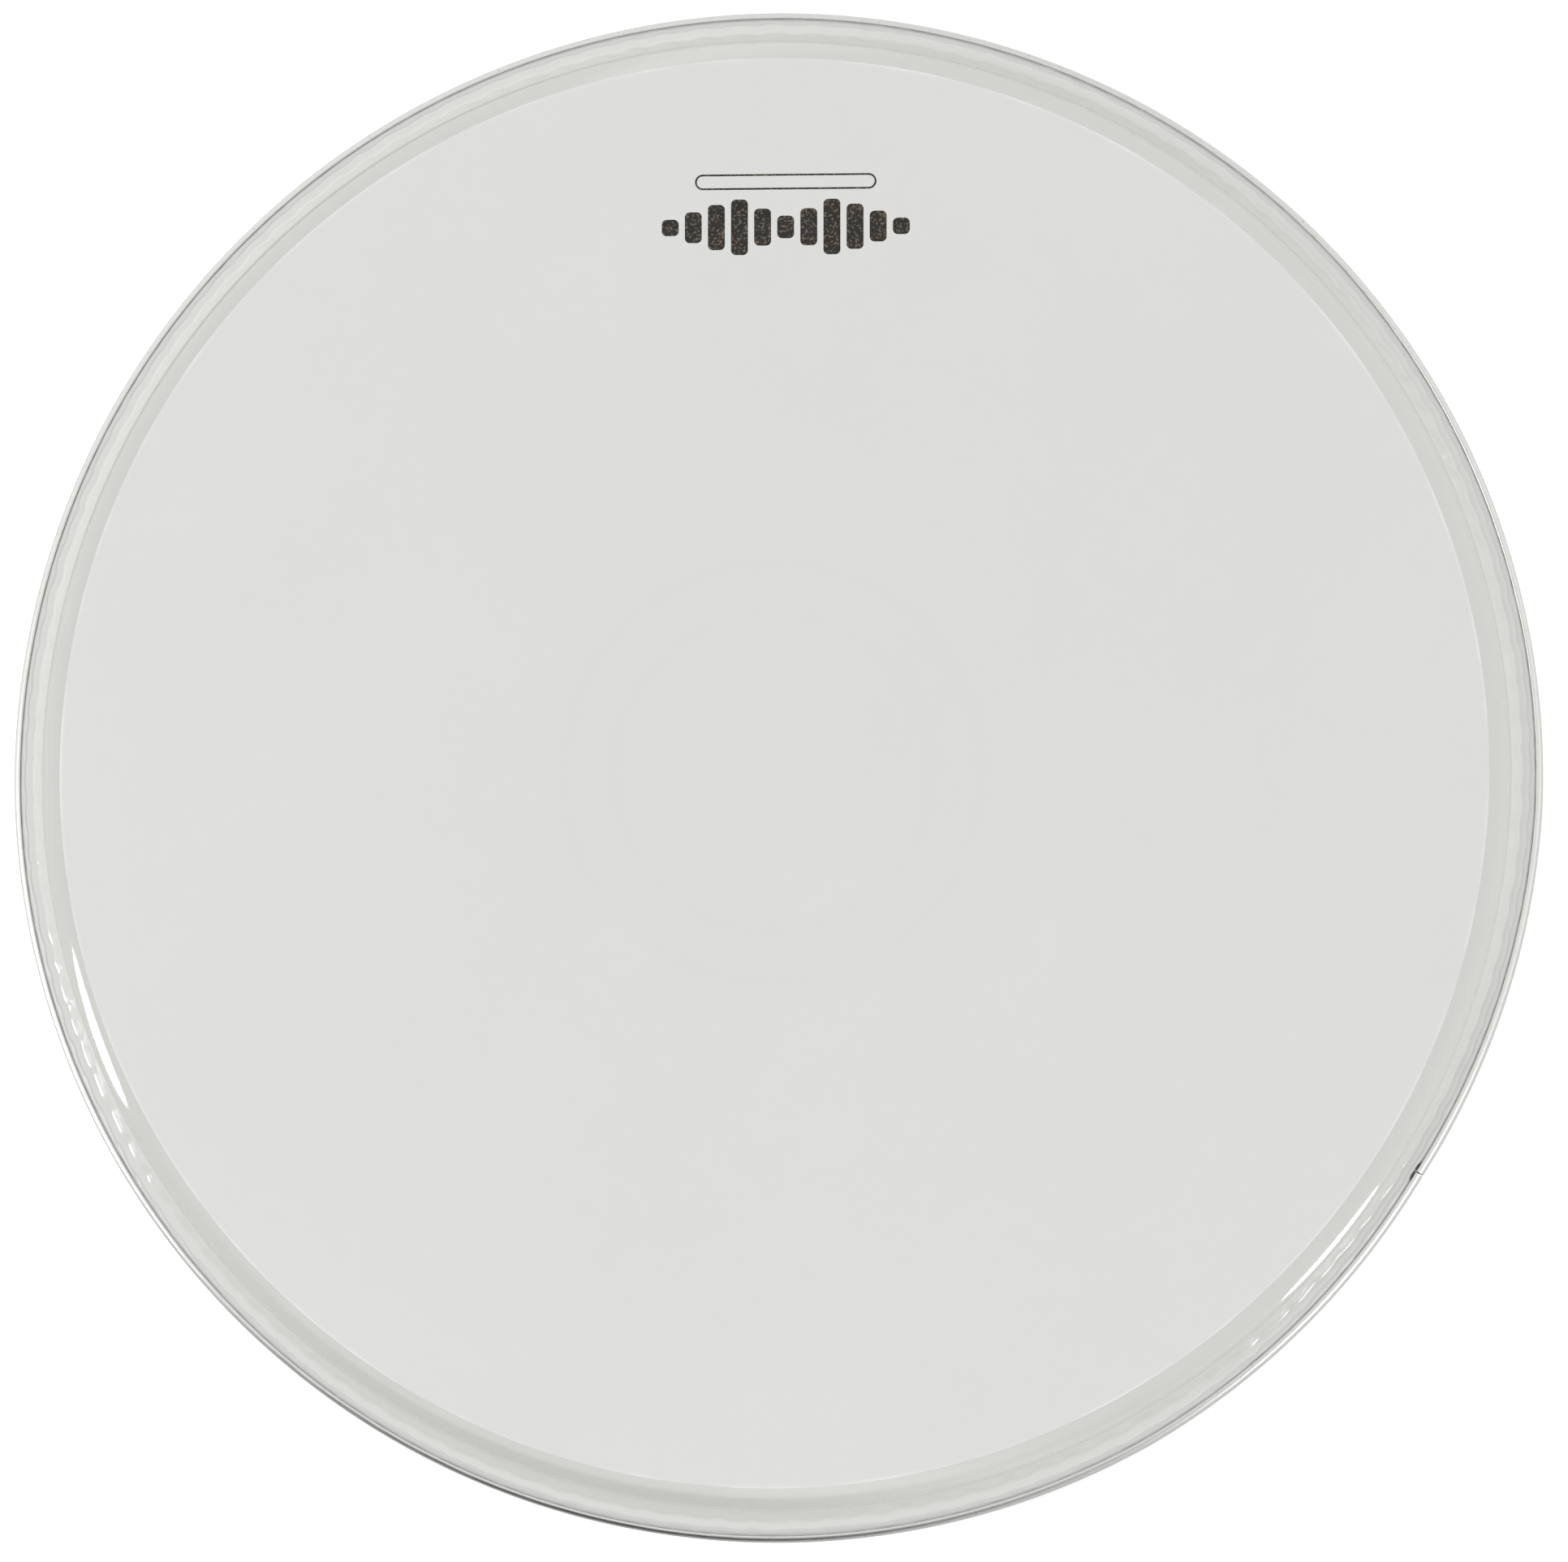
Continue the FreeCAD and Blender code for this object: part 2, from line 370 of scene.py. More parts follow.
def strip_section():
    inner_top = INNER_WALL_TOP - EDGE_BREAK
    lip_top = HOOP_TOP - EDGE_BREAK
    lip_low = HOOP_TOP - STRIP + EDGE_BREAK
    lip_centre = (HOOP_RADIUS - LIP_BEND, HOOP_TOP - LIP_BEND)
    points = arc((BORE + EDGE_BREAK, inner_top), EDGE_BREAK, 90, 180, 3)
    points += straight((BORE, inner_top), (BORE, FLOOR_BEND), 3)
    points += arc((BORE + FLOOR_BEND, FLOOR_BEND), FLOOR_BEND, 180, 270, 7)
    points += arc((HOOP_RADIUS - FLOOR_BEND, FLOOR_BEND), FLOOR_BEND, 270, 360, 7)
    points += straight((HOOP_RADIUS, FLOOR_BEND), (HOOP_RADIUS, lip_centre[1]), 3)
    points += arc(lip_centre, LIP_BEND, 0, 90, 9)
    points += arc((LIP_EDGE + EDGE_BREAK, lip_top), EDGE_BREAK, 100, 180, 3)
    points += arc((LIP_EDGE + EDGE_BREAK, lip_low), EDGE_BREAK, 180, 260, 3)
    points += arc(lip_centre, LIP_BEND - STRIP, 90, 0, 4)
    points += arc((HOOP_RADIUS - FLOOR_BEND, FLOOR_BEND), FLOOR_BEND - STRIP, 360, 270, 4)
    points += arc((BORE + FLOOR_BEND, FLOOR_BEND), FLOOR_BEND - STRIP, 270, 180, 4)
    points += arc((CHANNEL_INSIDE - EDGE_BREAK, inner_top), EDGE_BREAK, 0, 80, 3)
    return points


def cap_ends(mesh):
    """Closes the two cut ends of the strip, which the sweep leaves open."""
    shell = bmesh.new()
    shell.from_mesh(mesh)
    bmesh.ops.holes_fill(shell, edges=[e for e in shell.edges if e.is_boundary], sides=0)
    bmesh.ops.recalc_face_normals(shell, faces=shell.faces)
    shell.to_mesh(mesh)
    shell.free()


half_gap = SEAM_GAP / 2 / HOOP_RADIUS
hoop = turned_piece("rolled_hoop", strip_section(), aluminium, HOOP_STEPS, True, HOOP_SHARP,
                    start=SEAM_AZIMUTH + half_gap, sweep=FULL_TURN - 2 * half_gap)
cap_ends(hoop.data)
hoop.data.set_sharp_from_angle(angle=math.radians(HOOP_SHARP))
settle(hoop, "hoop_aluminium", "hoop")

# %% [markdown]
# ## Finish of the clear film
#
# Polyester film is clear and glossy, with a trace of green haze. Glass with refraction would bend the
# view through two close faces and cost noise, so the film lets light straight through by a Transparent
# shader, mixed with a little haze, and adds a mirror that grows towards grazing angles as it does on any
# clear plastic. Low on the collar the resin wets the film's back and it looks frosted there, so the milky
# part takes over below a certain level.

# %% Clear film
FILM_MIRROR = 0.06
LEDGE = 11.3
FROST_TOP = LEDGE + 4.8
FROST_FULL = LEDGE + 3.2
FROST_COVER = 0.85


def clear_film():
    finish, tree = new_finish("clear_film")
    facing = add(tree, "ShaderNodeLayerWeight", {"Blend": 0.5}).outputs["Facing"]
    grazing = maths(tree, "POWER", facing, 5.0)
    mirror = maths(tree, "ADD", maths(tree, "MULTIPLY", grazing, 1.0 - FILM_MIRROR), FILM_MIRROR)
    cloud = object_noise(tree, 60.0, 3.0)
    clear = add(tree, "ShaderNodeBsdfTransparent", {"Color": (0.93, 0.932, 0.912, 1)})
    level = add(tree, "ShaderNodeSeparateXYZ", {0: object_seat(tree)}).outputs["Z"]
    wetted = smooth_range(tree, level, FROST_TOP * MM, FROST_FULL * MM)
    frost = blend_colour(tree, wetted, (0.86, 0.863, 0.838, 1), (0.71, 0.713, 0.688, 1))
    milky = add(tree, "ShaderNodeBsdfDiffuse", {"Color": frost})
    haze = spread(tree, cloud, 0.04, 0.07)
    cover = maths(tree, "MAXIMUM", haze, maths(tree, "MULTIPLY", wetted, FROST_COVER))
    body = add(tree, "ShaderNodeMixShader", {0: cover, 1: clear.outputs[0], 2: milky.outputs[0]})
    gloss = add(tree, "ShaderNodeBsdfGlossy",
                {"Color": (1, 1, 1, 1), "Roughness": spread(tree, cloud, 0.03, 0.06),
                 "Normal": relief(tree, object_noise(tree, 180.0), 0.05, 0.05)})
    show(tree, add(tree, "ShaderNodeMixShader", {0: mirror, 1: body.outputs[0], 2: gloss.outputs[0]}))
    return finish


film_finish = clear_film()
print("finish made:", film_finish.name)

# %% [markdown]
# ## The film
#
# One sheet makes the flat crown, the round shoulder, the steep collar, a small flare that runs out into a
# ledge over the channel, and the skirt inside it. It is a closed thin shell with both faces, and its
# ledge carries the pleats. Extra points near the shoulder's start keep the crown's shading flat.

# %% Film
FILM = 0.25
CROWN_TOP = 17.2
SHOULDER = 5.5
LEAN = 24.0
FLARE = 1.2
LEDGE_WIDTH = 1.95
KNEE = 0.3
SKIRT_EDGE = 2.0
PLEATS = (128, 0.55)
PLEAT_STEPS = 1152
SHOULDER_STEPS = 14
INNER_SHOULDER_STEPS = 9
FLARE_STEPS = 14
KNEE_STEPS = 3
TURNED_SHARP = 50
SKIRT_STANDOFF = 1.75
SKIRT_INSIDE = CHANNEL_INSIDE + SKIRT_STANDOFF
SKIRT_OUTSIDE = SKIRT_INSIDE + FILM
lean = math.radians(LEAN)
FLARE_CENTRE = (SKIRT_OUTSIDE - LEDGE_WIDTH, LEDGE + FLARE)
collar_drop = CROWN_TOP - SHOULDER * (1 - math.sin(lean)) - LEDGE - FLARE * (1 - math.sin(lean))
CROWN_RADIUS = FLARE_CENTRE[0] - (FLARE + SHOULDER) * math.cos(lean) - collar_drop * math.tan(lean)
SHOULDER_CENTRE = (CROWN_RADIUS, CROWN_TOP - SHOULDER)
SKIRT_LEVELS = (10.4, 9.8, 9.0, 8.0, 7.0, SKIRT_EDGE)


def film_face(inward, shoulder_steps):
    """One face of the film from the axis to the skirt's edge, this far inward from its outer face."""
    level = CROWN_TOP - inward
    skirt = SKIRT_OUTSIDE - inward
    crown = [(0.0, level), (150.0, level), (CROWN_RADIUS - 0.6, level), (CROWN_RADIUS - 0.15, level)]
    bend = arc(SHOULDER_CENTRE, SHOULDER - inward, 90, LEAN, shoulder_steps)
    flare = arc(FLARE_CENTRE, FLARE + inward, 180 + LEAN, 270, FLARE_STEPS)
    collar = straight(bend[-1], flare[0], 3)
    knee = arc((skirt - KNEE, LEDGE - inward - KNEE), KNEE, 80, 0, KNEE_STEPS)
    return crown + bend + collar + flare + knee + [(skirt, z) for z in SKIRT_LEVELS]


def film_section():
    return film_face(0.0, SHOULDER_STEPS) + film_face(FILM, INNER_SHOULDER_STEPS)[::-1]


film = turned_piece("film_membrane", film_section(), film_finish, PLEAT_STEPS, False, TURNED_SHARP,
                    pleats=PLEATS)
settle(film, "clear_film", "film")
print("flat crown radius in mm:", round(CROWN_RADIUS, 2))

# %% [markdown]
# ## Finish of the potting resin
#
# Cast resin is pale and slightly milky, with a few small bubbles and a surface that set in soft ripples.
# Towards the lip it lies lower, in the lip's shade, and that shade is painted into its colour, which
# darkens with the distance from the axis; the mesh will carry that distance as an attribute.

# %% Potting resin
LIP_SIDE = "lip_side"
LIP_SHADE_START = 181.0
LIP_SHADE_FULL = 182.15


def cast_resin():
    finish, tree = new_finish("cast_resin")
    cloud = object_noise(tree, 90.0, 3.0)
    bubbles = add(tree, "ShaderNodeTexVoronoi", {"Vector": object_seat(tree), "Scale": 420.0})
    bubbles = smooth_range(tree, bubbles.outputs["Distance"], 0.16, 0.08)
    lip_side = add(tree, "ShaderNodeAttribute", attribute_name=LIP_SIDE).outputs["Fac"]
    # Painted shade: the resin's colour darkens towards the lip, where the lip shades it.
    lip_shade = smooth_range(tree, lip_side, LIP_SHADE_START, LIP_SHADE_FULL)
    colour = blend_colour(tree, cloud, (0.73, 0.73, 0.722, 1), (0.80, 0.80, 0.792, 1))
    colour = blend_colour(tree, lip_shade, colour, (0.54, 0.54, 0.525, 1))
    colour = touch(tree, bubbles, 0.35, colour, (0.55, 0.55, 0.50, 1))
    look = {"Base Color": colour, "Roughness": spread(tree, cloud, 0.3, 0.45), "IOR": 1.6,
            "Normal": relief(tree, object_noise(tree, 320.0), 0.2, 0.1)}
    show(tree, add(tree, "ShaderNodeBsdfPrincipled", look))
    return finish


resin_finish = cast_resin()
print("finish made:", resin_finish.name)

# %% [markdown]
# ## The potting resin
#
# The resin fills the channel on both sides of the skirt, backs the ledge and the flare, laps a little
# over the ledge's rounded edge and slopes down to the lip. Any slit between film and resin would show as
# a black line, so the section follows the film's own points at a hair's distance and bends with the same
# pleats. Afterwards the surface beside the lip is rippled, and a small void is sunk at the seam, where
# the cast leaked out.

# %% Potting resin in the channel
GROOVE_LEVEL = 10.12
SEAT = 0.005
LAP = ((0.6, SEAT), (0.5, 0.03), (0.2, 0.05))
SLOPE = ((182.3, 0.04), (182.6, 0.16), (182.9, 0.36), (183.15, 0.56), (183.4, 0.76),
         (LIP_EDGE - SEAT, 0.8))
BEAD_START = 182.85
BEAD_FADE = 0.3
BEAD_LOWEST = GROOVE_LEVEL - 0.2
RIPPLE = 0.12
LONG_RIPPLE = 0.35
SHORT_RIPPLE = 1.3
SHORT_SHARE = 0.6
SHORT_SLICE = 9.0
VOID_REACH = 1.9
VOID_DEPTH = 3.5


def resin_section():
    """LAP: how far in from the skirt and over the ledge. SLOPE: radius, and how far under the ledge."""
    under_film = film_face(FILM + SEAT, INNER_SHOULDER_STEPS)
    flare_start = len(under_film) - len(SKIRT_LEVELS) - (KNEE_STEPS + 1) - (FLARE_STEPS + 1)
    bend = FLOOR_BEND - STRIP - SEAT
    wall_top = INNER_WALL_TOP + SEAT
    points = under_film[flare_start:-1] + [(SKIRT_INSIDE - SEAT, SKIRT_EDGE - SEAT)]
    points += [(SKIRT_OUTSIDE + SEAT, level) for level in (SKIRT_EDGE - SEAT,) + SKIRT_LEVELS[-2::-1]]
    points += arc((SKIRT_OUTSIDE - KNEE, LEDGE - KNEE), KNEE + SEAT, 0, 90, KNEE_STEPS)
    points += [(SKIRT_OUTSIDE - inward, LEDGE + rise) for inward, rise in LAP]
    points += [(radius, LEDGE - drop) for radius, drop in SLOPE]
    points += [(LIP_EDGE - SEAT, GROOVE_LEVEL), (CHANNEL_OUTSIDE - SEAT, GROOVE_LEVEL)]
    points += arc((HOOP_RADIUS - FLOOR_BEND, FLOOR_BEND), bend, 360, 270, 3)
    points += arc((BORE + FLOOR_BEND, FLOOR_BEND), bend, 270, 180, 3)
    points += [(CHANNEL_INSIDE + SEAT, INNER_WALL_TOP - EDGE_BREAK)]
    points += [(CHANNEL_INSIDE - EDGE_BREAK, wall_top), (BORE + EDGE_BREAK / 2, wall_top)]
    points += straight(points[-1], points[0], 5)
    return points


def weather_bead(mesh):
    """Notes each point's distance from the axis, ripples the surface by the lip and sinks the void."""
    noted = mesh.attributes.new(LIP_SIDE, "FLOAT", "POINT")
    for vertex in mesh.vertices:
        x, y, z = vertex.co / MM
        radius, azimuth = math.hypot(x, y), math.atan2(y, x)
        noted.data[vertex.index].value = radius
        outer = min(1.0, max(0.0, (radius - BEAD_START) / BEAD_FADE))
        if outer == 0.0 or z <= BEAD_LOWEST:
            continue
        wave = noise.noise(Vector((x, y, 0.0)) * LONG_RIPPLE)
        wave += SHORT_SHARE * noise.noise(Vector((x, y, SHORT_SLICE)) * SHORT_RIPPLE)
        away = (azimuth - SEAM_AZIMUTH) * radius / VOID_REACH
        sink = VOID_DEPTH * outer * math.exp(-away ** 4) - RIPPLE * outer * wave
        vertex.co.z = (z - sink) * MM


resin = turned_piece("potting_resin", resin_section(), resin_finish, PLEAT_STEPS, True, TURNED_SHARP,
                     pleats=PLEATS)
weather_bead(resin.data)
settle(resin, "potting_resin", "resin")

# %% [markdown]
# ## The flat at the seam
#
# Forming rolls can't bend the last stretch of a strip, so a rolled hoop runs a little straight towards
# its seam. Seen from above, its edge draws in to a shallow corner there. The three pieces have to stay
# fitted to each other, so one and the same shift moves the points of hoop, film and resin. It fades out
# on the film's collar.

# %% Flat at the seam
FLAT_DEPTH = 1.5
FLAT_REACH = math.radians(29.0)
FLAT_START = 176.5
FLAT_FULL = 181.5


def draw_in(mesh):
    for vertex in mesh.vertices:
        radius = math.hypot(vertex.co.x, vertex.co.y) / MM
        azimuth = math.atan2(vertex.co.y, vertex.co.x)
        near = max(0.0, 1.0 - abs(azimuth - SEAM_AZIMUTH) / FLAT_REACH)
        share = min(1.0, max(0.0, (radius - FLAT_START) / (FLAT_FULL - FLAT_START)))
        share = share * share * (3.0 - 2.0 * share)
        if near * share > 0.0:
            vertex.co.xy *= 1.0 - FLAT_DEPTH * near * share / radius


for piece in (hoop, film, resin):
    draw_in(piece.data)
print("deepest draw in mm:", FLAT_DEPTH)

# %% [markdown]
# ## Finish of the sprayed coating
#
# The white coating is a matte, finely pebbled spray. It lets part of the light through, which is why the
# inside of the head is bright, so a Translucent shader is mixed in. A slow cloudiness, a paler line where
# the spray built up against the mask and a few dark specks of dust keep it from looking printed. Over the
# edges of the dot underneath and of its adhesive, two very faint rings of painted shade stand for the
# light that comes through less there.

# %% Sprayed coating
MASK_SHIFT = (-0.3, 0.45)
COATING_RADIUS = CROWN_RADIUS - 0.57
DOT_EDGES = (38.1, 50.8)
EDGE_SPREAD = 3.2
EDGE_CORE = 0.2
EDGE_STRENGTH = 0.02
DUST_CELLS = 26.0
DUST_PICK = 0.6
DUST_OUTSIDE = 0.009
DUST_INSIDE = 0.006
RIM_WIDTH = 0.9
RIM_EDGE = 0.1
LIGHT_THROUGH = 0.3


def seat_from_above(tree, x, y):
    """Object coordinates in plan, from a centre in millimetres."""
    inputs = {"Vector": object_seat(tree), "Location": (-x * MM, -y * MM, 0.0), "Scale": (1, 1, 0)}
    return add(tree, "ShaderNodeMapping", inputs).outputs[0]


def edge_line(tree, radius):
    """A faint soft line along a circle around the axis, strongest on the circle itself."""
    from_axis = vectors(tree, "LENGTH", seat_from_above(tree, 0.0, 0.0))
    away = maths(tree, "ABSOLUTE", maths(tree, "SUBTRACT", from_axis, radius * MM))
    return smooth_range(tree, away, EDGE_SPREAD * MM, EDGE_CORE * MM, 0.0, EDGE_STRENGTH)


def dust_specks(tree, seat):
    """A small dot in the middle of some cells of a Voronoi pattern."""
    cells = add(tree, "ShaderNodeTexVoronoi", {"Vector": seat, "Scale": DUST_CELLS}).outputs
    pick = add(tree, "ShaderNodeSeparateXYZ", {0: cells["Color"]}).outputs[0]
    chosen = maths(tree, "GREATER_THAN", pick, DUST_PICK)
    dots = smooth_range(tree, cells["Distance"], DUST_OUTSIDE, DUST_INSIDE)
    return maths(tree, "MULTIPLY", dots, chosen)


def sprayed_coating():
    finish, tree = new_finish("sprayed_coating")
    flat = seat_from_above(tree, *MASK_SHIFT)
    from_centre = vectors(tree, "LENGTH", flat)
    rim_start, rim_full = (COATING_RADIUS - RIM_WIDTH) * MM, (COATING_RADIUS - RIM_EDGE) * MM
    rim = smooth_range(tree, from_centre, rim_start, rim_full)
    rim = maths(tree, "MULTIPLY", rim, smooth_range(tree, object_noise(tree, 45.0), 0.35, 0.65))
    cloud = object_noise(tree, 22.0, 4.0, 0.55)
    grain = object_noise(tree, 1500.0, 3.0, 0.6)
    colour = blend_colour(tree, cloud, (0.814, 0.817, 0.802, 1), (0.834, 0.837, 0.822, 1))
    colour = touch(tree, grain, 0.06, colour, (0.70, 0.70, 0.68, 1))
    # Painted shade: two faint darker rings over the edges of the dot and its adhesive.
    for edge in DOT_EDGES:
        colour = blend_colour(tree, edge_line(tree, edge), colour, (0.55, 0.56, 0.575, 1))
    colour = touch(tree, rim, 0.6, colour, (0.95, 0.95, 0.93, 1))
    colour = touch(tree, dust_specks(tree, flat), 0.75, colour, (0.10, 0.09, 0.08, 1))
    look = {"Base Color": colour, "Roughness": spread(tree, grain, 0.7, 0.85), "Specular IOR Level": 0.25,
            "Normal": relief(tree, grain, 0.35, 0.05)}
    front = add(tree, "ShaderNodeBsdfPrincipled", look)
    glow = add(tree, "ShaderNodeBsdfTranslucent", {"Color": colour})
    layers = {0: LIGHT_THROUGH, 1: front.outputs[0], 2: glow.outputs[0]}
    show(tree, add(tree, "ShaderNodeMixShader", layers))
    return finish


coating_finish = sprayed_coating()
print("finish made:", coating_finish.name)

# %% [markdown]
# ## The coating
#
# The spray lies on the crown as a very thin disc with a soft edge. Its mask sat a little off the axis,
# and so does the disc.

# %% Coating
COATING_LOW = CROWN_TOP + 0.005
COATING_HIGH = CROWN_TOP + 0.038
COATING_STEPS = 720
COATING_SHARP = 60


def coating_section():
    edge = COATING_RADIUS
    top = [(0.0, COATING_HIGH), (90.0, COATING_HIGH), (edge - 1.0, COATING_HIGH)]
    top += [(edge - 0.35, COATING_HIGH + 0.006)]
    side = [(edge - 0.12, COATING_HIGH), (edge - 0.02, COATING_LOW + 0.016), (edge, COATING_LOW)]
    return top + side + [(90.0, COATING_LOW), (0.0, COATING_LOW)]


coating = turned_piece("sprayed_crown", coating_section(), coating_finish, COATING_STEPS, False,
                       COATING_SHARP)
for vertex in coating.data.vertices:
    vertex.co += Vector((MASK_SHIFT[0], MASK_SHIFT[1], 0.0)) * MM
settle(coating, "white_coating", "coating")

# %% [markdown]
# ## The printed mark
#
# A plain mark of upright bars, as on a level meter, stands where the real head carries its printing, with
# an open panel above it to write on. Each shape is an outline with round ends, filled and given the ink's
# thickness. The ink is charcoal with small warm flakes in it.

# %% Ink
INK_LOW = COATING_HIGH - 0.002
INK_HIGH = CROWN_TOP + 0.05


def flaked_ink():
    finish, tree = new_finish("flaked_ink")
    flakes = smooth_range(tree, object_noise(tree, 1700.0), 0.52, 0.64)
    cloud = object_noise(tree, 500.0, 3.0)
    colour = blend_colour(tree, cloud, (0.008, 0.007, 0.006, 1), (0.024, 0.021, 0.017, 1))
    colour = touch(tree, flakes, 0.6, colour, (0.18, 0.15, 0.105, 1))
    rough = add(tree, "ShaderNodeMapRange", {"Value": flakes, "To Min": 0.6, "To Max": 0.38})
    look = {"Base Color": colour, "Roughness": rough.outputs["Result"], "Specular IOR Level": 0.3,
            "Normal": relief(tree, object_noise(tree, 1500.0, 3.0, 0.6), 0.3, 0.04)}
    show(tree, add(tree, "ShaderNodeBsdfPrincipled", look))
    return finish


ink_finish = flaked_ink()
print("finish made:", ink_finish.name)

# %% Outlines and pieces of ink


def round_bar(width, height, corner, steps=8):
    """Outline of an upright bar with rounded corners, centred on the origin."""
    x, y = width / 2 - corner, height / 2 - corner
    return (arc((x, y), corner, 0, 90, steps) + arc((-x, y), corner, 90, 180, steps)
            + arc((-x, -y), corner, 180, 270, steps) + arc((x, -y), corner, 270, 360, steps))


def printed(name, outlines):
    """One piece of ink. An outline is its points, its place and, for an open frame, its inner points."""
    ink = bmesh.new()
    for outer, (x, y), inner in outlines:
        loops = [[[ink.verts.new(((px + x) * MM, (py + y) * MM, level * MM)) for px, py in ring]
                  for ring in (outer, inner) if ring] for level in (INK_HIGH, INK_LOW)]
        high, low = loops
        for up, down in zip(high, low):
            for i in range(len(up)):
                j = (i + 1) % len(up)
                ink.faces.new((up[i], up[j], down[j], down[i]))
        for level in loops:
            if inner:
                for i in range(len(outer)):
                    j = (i + 1) % len(outer)
                    ink.faces.new((level[0][i], level[0][j], level[1][j], level[1][i]))
            else:
                ink.faces.new(level[0])
    bmesh.ops.recalc_face_normals(ink, faces=ink.faces)
    mesh = bpy.data.meshes.new(name)
    ink.to_mesh(mesh)
    ink.free()
    mesh.materials.append(ink_finish)
    piece = bpy.data.objects.new(name, mesh)
    bpy.context.scene.collection.objects.link(piece)
    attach(piece, "root")


# %% Bars and panel
MARK_CENTRE = (3.2, 132.0)
BAR_HEIGHTS = (4.0, 7.5, 11.0, 13.5, 9.0, 5.5, 9.0, 13.5, 11.0, 7.5, 4.0)
BAR_WIDTH = 4.1
BAR_PITCH = 5.6
BAR_CORNER = 1.2
PANEL = (44.0, 3.8, 1.9)
PANEL_LINE = 0.45
PANEL_RISE = 11.0
bars = []
for index, height in enumerate(BAR_HEIGHTS):
    across = MARK_CENTRE[0] + (index - (len(BAR_HEIGHTS) - 1) / 2) * BAR_PITCH
    bars.append((round_bar(BAR_WIDTH, height, BAR_CORNER), (across, MARK_CENTRE[1]), None))
printed("printed_bars", bars)
panel_inside = round_bar(PANEL[0] - 2 * PANEL_LINE, PANEL[1] - 2 * PANEL_LINE, PANEL[2] - PANEL_LINE)
panel_place = (MARK_CENTRE[0], MARK_CENTRE[1] + PANEL_RISE)
printed("printed_panel", [(round_bar(*PANEL), panel_place, panel_inside)])
print("printed bars:", len(bars))

# %% [markdown]
# ## Dot and adhesive
#
# Under the crown sits a reinforcing dot of thinner film, held by a ring of adhesive. Their solids are
# already right, so they stay and only get finishes: satin translucent film, and a glue layer that spread
# a little unevenly.

# %% Dot and adhesive


def satin_layer(name, pale, dark, patch, through):
    finish, tree = new_finish(name)
    cloud = object_noise(tree, patch, 4.0, 0.6)
    colour = blend_colour(tree, cloud, dark, pale)
    look = {"Base Color": colour, "Roughness": spread(tree, cloud, 0.3, 0.45),
            "Normal": relief(tree, object_noise(tree, 1200.0), 0.1, 0.02)}
    front = add(tree, "ShaderNodeBsdfPrincipled", look)
    glow = add(tree, "ShaderNodeBsdfTranslucent", {"Color": colour})
    show(tree, add(tree, "ShaderNodeMixShader", {0: through, 1: front.outputs[0], 2: glow.outputs[0]}))
    return finish


def dress(node, finish):
    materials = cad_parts[node].data.materials
    materials.clear()
    materials.append(finish)


dot_finish = satin_layer("satin_dot", (0.90, 0.905, 0.89, 1), (0.86, 0.865, 0.85, 1), 70.0, 0.6)
glue_finish = satin_layer("glue_ring", (0.94, 0.935, 0.91, 1), (0.89, 0.885, 0.86, 1), 160.0, 0.75)
dress("dot", dot_finish)
dress("dot_adhesive", glue_finish)
print("dressed solids: dot, dot_adhesive")

# %% [markdown]
# ## Studio
#
# The head lies on a white floor. Two oval softboxes stand on the left and the right and show as tapered
# windows on the film's shoulder: their width sets how long such a window is, their height how thick, and
# a roll slants it. A broad soft sky does the rest. It is brighter towards both sides, and dark towards
# the bottom of the picture, where the hoop's edge shows a dark line. Mirrored in the metal, the floor is
# darker on that side too, a painted dark reflection that only mirrored rays see. The floor is a little
# brighter to the camera than to everything else, so the background is white and still keeps the head's
# soft shadow. Inside the hoop that lift is a touch stronger, painted light on the floor seen through the
# film.

# %% Floor
FLOOR_HALF = 3.0
FLOOR_CORNERS = ((-1, -1), (1, -1), (1, 1), (-1, 1))
FLOOR_LEVEL = -0.05
LIFT_INSIDE = 0.556
LIFT_OUTSIDE = 0.55
MIRRORED_LIFT = 0.4
MIRRORED_DARK = 0.5
BRIGHT_SIDES = (0.966, -0.259, 0.0)
DARK_FRONT = (-0.31, -0.95, 0.0)
FRONT_FOCUS = 3.0


def toward_front(tree, level):
    """1 straight towards the dark front, and falling to 0 at a right angle from it."""
    front = vectors(tree, "DOT_PRODUCT", level, DARK_FRONT)
    return maths(tree, "POWER", maths(tree, "MAXIMUM", front, 0.0), FRONT_FOCUS)


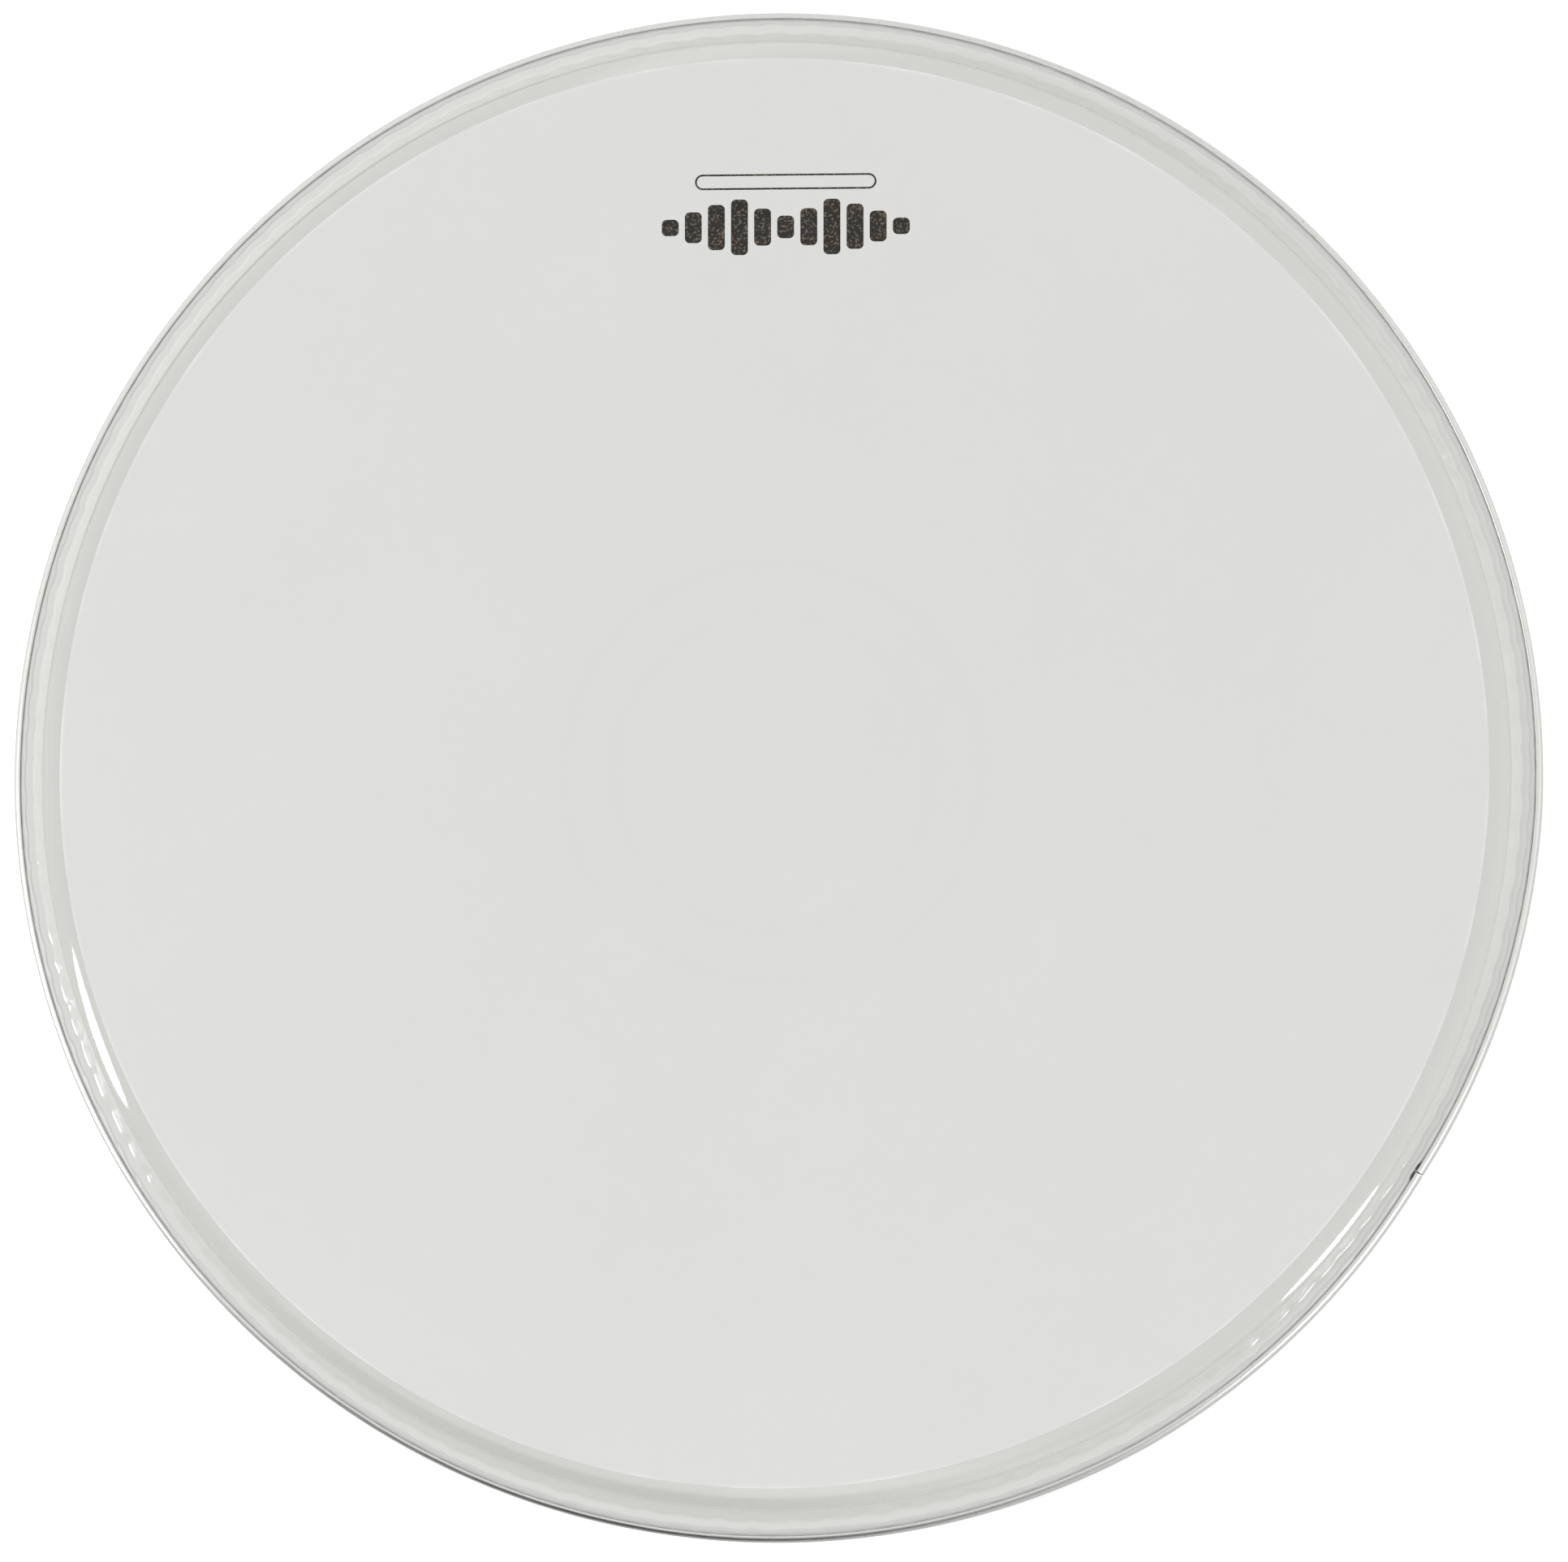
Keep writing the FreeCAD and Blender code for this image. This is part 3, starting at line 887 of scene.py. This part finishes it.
def white_floor():
    finish, tree = new_finish("white_floor")
    path = add(tree, "ShaderNodeLightPath").outputs
    mirrored = path["Is Glossy Ray"]
    seen = maths(tree, "ADD", path["Is Camera Ray"], maths(tree, "MULTIPLY", mirrored, MIRRORED_LIFT))
    paper = add(tree, "ShaderNodeBsdfDiffuse", {"Color": (0.65, 0.65, 0.65, 1)})
    seat = object_seat(tree)
    from_axis = vectors(tree, "LENGTH", seat)
    # Painted light: inside the hoop the camera-only lift is a touch stronger and brightens the shaded
    # floor seen through the film.
    extra = smooth_range(tree, from_axis, BORE * MM, HOOP_RADIUS * MM, LIFT_INSIDE, LIFT_OUTSIDE)
    extra = maths(tree, "MULTIPLY", seen, extra)
    lift = add(tree, "ShaderNodeEmission", {"Color": (1, 1, 1, 1), "Strength": extra})
    lit = add(tree, "ShaderNodeAddShader", {0: paper.outputs[0], 1: lift.outputs[0]})
    # Painted dark reflection: towards the front, rays mirrored off the metal see a near black floor.
    in_front = toward_front(tree, vectors(tree, "NORMALIZE", seat))
    painted_dark_reflection = maths(tree, "MULTIPLY", maths(tree, "MULTIPLY", in_front, mirrored), MIRRORED_DARK)
    dark = add(tree, "ShaderNodeBsdfDiffuse", {"Color": (0.03, 0.03, 0.025, 1)})
    show(tree, add(tree, "ShaderNodeMixShader", {0: painted_dark_reflection, 1: lit.outputs[0], 2: dark.outputs[0]}))
    return finish


ground = bpy.data.meshes.new("floor")
corners = [(x * FLOOR_HALF, y * FLOOR_HALF, FLOOR_LEVEL * MM) for x, y in FLOOR_CORNERS]
ground.from_pydata(corners, [], [(0, 1, 2, 3)])
ground.materials.append(white_floor())
floor = bpy.data.objects.new("floor", ground)
bpy.context.scene.collection.objects.link(floor)
print("floor made:", floor.name)

# %% Sky
SKY_LEVEL = 0.9
SIDE_LIGHT = 0.3
FRONT_DARK = 0.96
DARK_FROM = 0.995
DARK_FULL = 0.8


def soft_sky():
    world = bpy.data.worlds.new("soft_sky")
    world.use_nodes = True
    tree = world.node_tree
    tree.nodes.clear()
    look = add(tree, "ShaderNodeTexCoord").outputs["Generated"]
    height = add(tree, "ShaderNodeSeparateXYZ", {0: look}).outputs["Z"]
    level = vectors(tree, "NORMALIZE", vectors(tree, "MULTIPLY", look, (1, 1, 0)))
    sides = maths(tree, "ABSOLUTE", vectors(tree, "DOT_PRODUCT", look, BRIGHT_SIDES))
    light = maths(tree, "ADD", SKY_LEVEL, maths(tree, "MULTIPLY", sides, SIDE_LIGHT))
    low = smooth_range(tree, height, DARK_FROM, DARK_FULL, 0.0, FRONT_DARK)
    dark = maths(tree, "MULTIPLY", toward_front(tree, level), low)
    light = maths(tree, "MULTIPLY", light, maths(tree, "SUBTRACT", 1.0, dark))
    sky = add(tree, "ShaderNodeBackground", {"Color": (1, 1, 1, 1), "Strength": light})
    add(tree, "ShaderNodeOutputWorld", {"Surface": sky.outputs[0]})
    return world


bpy.context.scene.world = soft_sky()
print("sky made:", bpy.context.scene.world.name)

# %% Softboxes
SOFTBOX_FAR = 4.4
LIT_RADIUS = 175.0 * MM
LIT_LEVEL = 19.0 * MM


def softbox(name, azimuth, zenith, width, length, roll, radiance):
    """An oval light, at this azimuth from the head's axis and this zenith angle from the shoulder."""
    around, down = math.radians(azimuth), math.radians(zenith)
    reach = LIT_RADIUS + SOFTBOX_FAR * math.sin(down)
    place = Vector((reach * math.cos(around), reach * math.sin(around), SOFTBOX_FAR * math.cos(down)))
    lamp = bpy.data.lights.new(name, "AREA")
    lamp.shape = "ELLIPSE"
    lamp.size, lamp.size_y = width, length
    lamp.energy = radiance * math.pi * width * length
    box = bpy.data.objects.new(name, lamp)
    target = Vector((LIT_RADIUS * math.cos(around), LIT_RADIUS * math.sin(around), LIT_LEVEL))
    box.rotation_euler = (place - target).to_track_quat("Z", "Y").to_euler()
    box.location = place
    box.rotation_euler.rotate_axis("Z", math.radians(roll))
    bpy.context.scene.collection.objects.link(box)
    print("softbox made:", name, "height in m:", round(place.z, 2))


softbox("softbox_right", azimuth=-40.0, zenith=73.0, width=0.98, length=2.2, roll=0.0, radiance=7.5)
softbox("softbox_left", azimuth=-165.5, zenith=52.0, width=0.66, length=3.7, roll=9.0, radiance=11.0)

# %% [markdown]
# ## Camera
#
# The picture looks almost straight down from far away, leaning a little towards the lower right corner.
# The camera's place follows from that lean, and its focal length from how much of the picture the hoop
# fills.

# %% Camera and view
CAMERA_FAR = 3.0
CAMERA_LEAN = math.radians(6.2)
CAMERA_AZIMUTH = math.radians(-43.0)
PICTURE_WIDTH = 1932
HOOP_PIXELS = 1887.0
AIM = Vector((1.98, -1.41, 7.0)) * MM

lens = bpy.data.cameras.new("camera")
lens.sensor_width = 36.0
lens.lens = lens.sensor_width * HOOP_PIXELS / PICTURE_WIDTH * CAMERA_FAR / (2 * HOOP_RADIUS * MM)
camera = bpy.data.objects.new("camera", lens)
bpy.context.scene.collection.objects.link(camera)
reach = CAMERA_FAR * math.sin(CAMERA_LEAN)
rise = CAMERA_FAR * math.cos(CAMERA_LEAN)
camera.location = AIM + Vector((reach * math.cos(CAMERA_AZIMUTH), reach * math.sin(CAMERA_AZIMUTH), rise))
back = (camera.location - AIM).normalized()
right = Vector((0, 1, 0)).cross(back).normalized()
up = back.cross(right)
camera.rotation_euler = Matrix((right, up, back)).transposed().to_euler()
bpy.context.scene.camera = camera
bpy.context.scene.view_settings.view_transform = "Standard"
print("focal length in mm:", round(lens.lens, 1))
